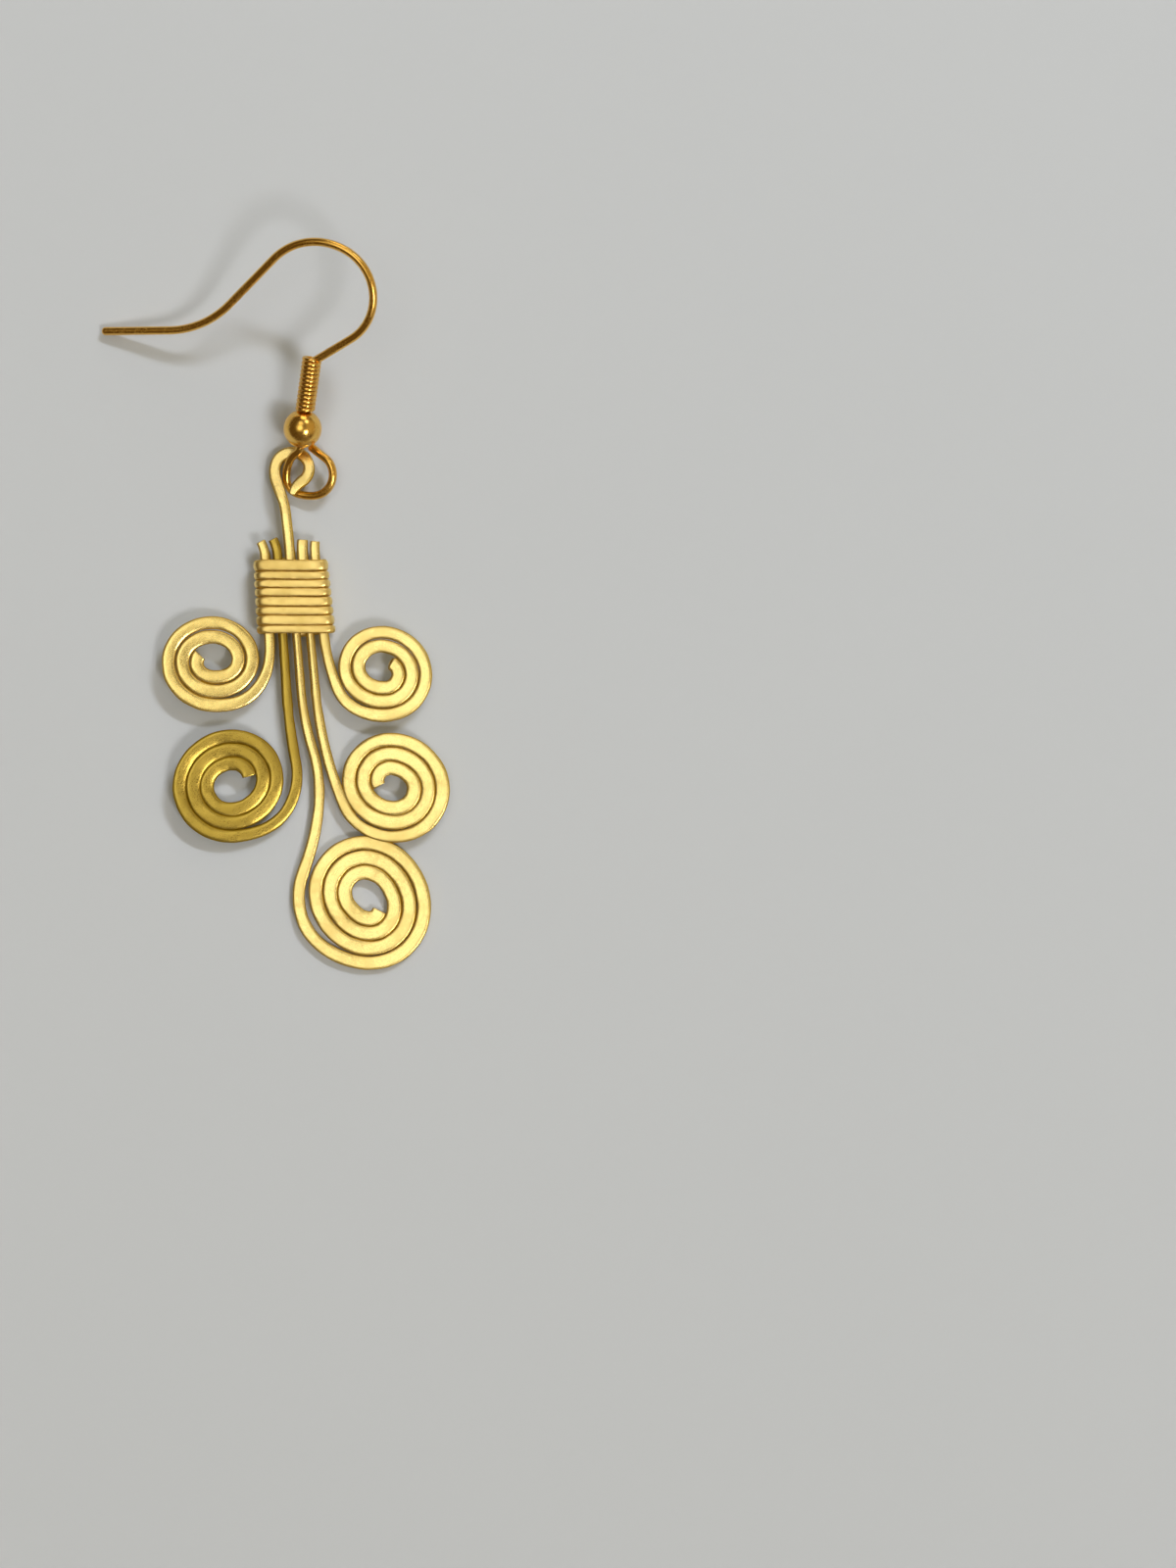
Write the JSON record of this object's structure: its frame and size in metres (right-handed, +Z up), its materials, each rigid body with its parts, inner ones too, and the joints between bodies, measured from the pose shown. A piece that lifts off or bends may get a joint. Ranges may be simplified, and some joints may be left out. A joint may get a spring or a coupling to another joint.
{
  "type": "spiral earring",
  "caption": "Drop earring lying flat: an open ear hook with a coil, a bead and a loop, and a pendant of hammered brass wires that end in flat spirals, held by a wound binding.",
  "frame": {"origin": "on the surface that the earring lies on, under the middle of its length and width", "axes": "+Y along the earring towards the ear hook, +X to the right seen from above, +Z up from the surface"},
  "size_m": [0.0272, 0.0566, 0.0078],
  "materials": {
    "gilt_wire": "smooth orange-gold plating with long soft highlights",
    "gilt_bead": "polished orange-gold plating",
    "binding_wire": "satin pale brass, flattened on the faces, darker in the grooves",
    "brass_wire": "satin yellow brass, hammered faces with rubbed edges and faint tarnish"
  },
  "bodies": {
    "root": {"ear_hook": "gilt_wire", "coil": "gilt_wire", "bead": "gilt_bead", "binding": "binding_wire", "centre_wire": "brass_wire", "upper_left_wire": "brass_wire", "lower_left_wire": "brass_wire", "lower_right_wire": "brass_wire", "upper_right_wire": "brass_wire"}
  },
  "joints": []
}
